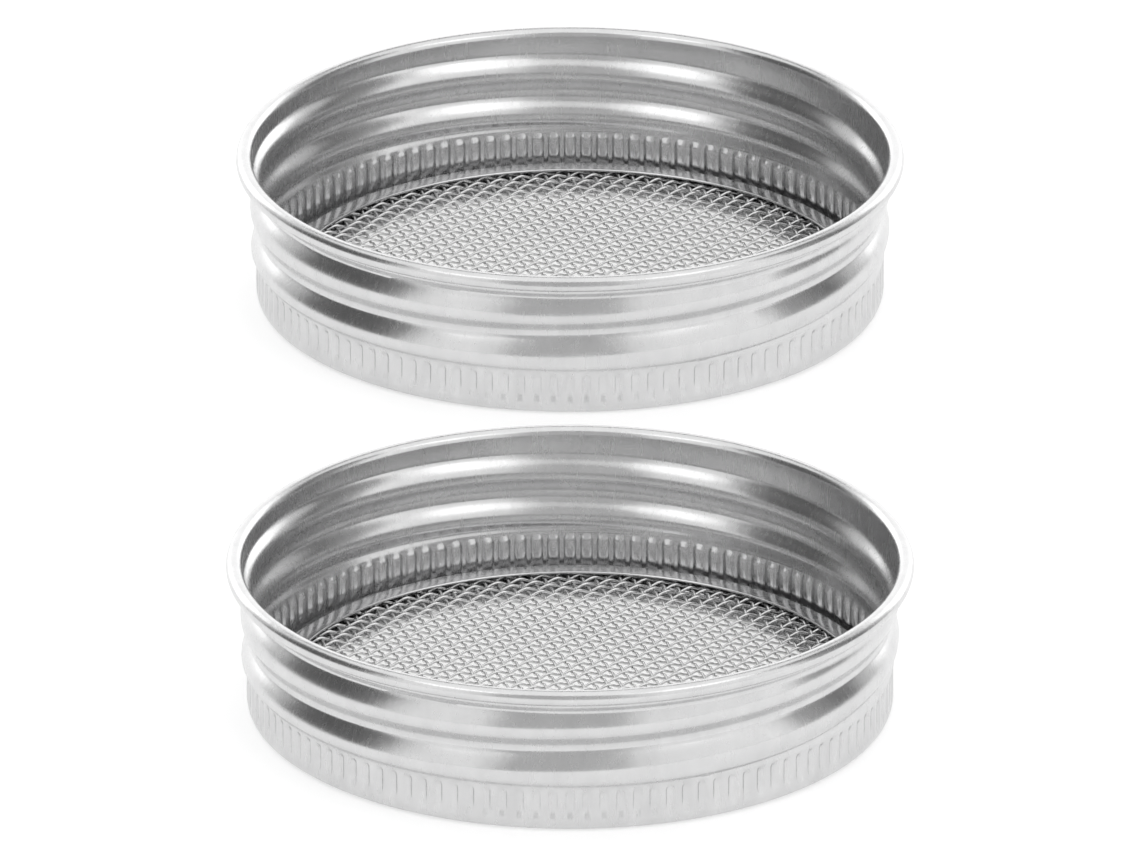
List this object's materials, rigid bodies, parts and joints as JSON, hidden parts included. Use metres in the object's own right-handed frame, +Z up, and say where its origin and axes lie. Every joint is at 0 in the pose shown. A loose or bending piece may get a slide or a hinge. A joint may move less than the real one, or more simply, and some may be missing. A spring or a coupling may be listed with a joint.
{
  "type": "jar sieve lid pair",
  "caption": "Two matching screw-on sieve lids for a canning jar: a pressed steel screw band with a knurled grip, holding a loose framed disc of woven wire.",
  "frame": {"origin": "on the surface that both lids stand on, midway between their centres", "axes": "+Z up, out of the open threaded ends; +Y from the front lid to the rear lid; +X to the right seen from the front"},
  "size_m": [0.074, 0.188, 0.017],
  "materials": {
    "band_steel": "satin pressed stainless steel, fine lines running round the wall, brighter on the rolled rim",
    "frame_steel": "polished folded stainless strip",
    "wire_steel": "bright drawn stainless wire"
  },
  "bodies": {
    "front_lid": {"front_screw_band": "band_steel"},
    "front_screen": {"front_screen_frame": "frame_steel", "front_warp_wires": "wire_steel", "front_weft_wires": "wire_steel"},
    "rear_lid": {"rear_screw_band": "band_steel"},
    "rear_screen": {"rear_screen_frame": "frame_steel", "rear_warp_wires": "wire_steel", "rear_weft_wires": "wire_steel"}
  },
  "joints": [
    {"name": "front_screen_lift", "type": "slide", "parent": "front_lid", "child": "front_screen", "axis": [0, 0, 1], "range_m": [0, 0.02]},
    {"name": "rear_lid_lift", "type": "slide", "parent": "front_lid", "child": "rear_lid", "axis": [0, 0, 1], "range_m": [0, 0.05]},
    {"name": "rear_screen_lift", "type": "slide", "parent": "rear_lid", "child": "rear_screen", "axis": [0, 0, 1], "range_m": [0, 0.02]}
  ]
}
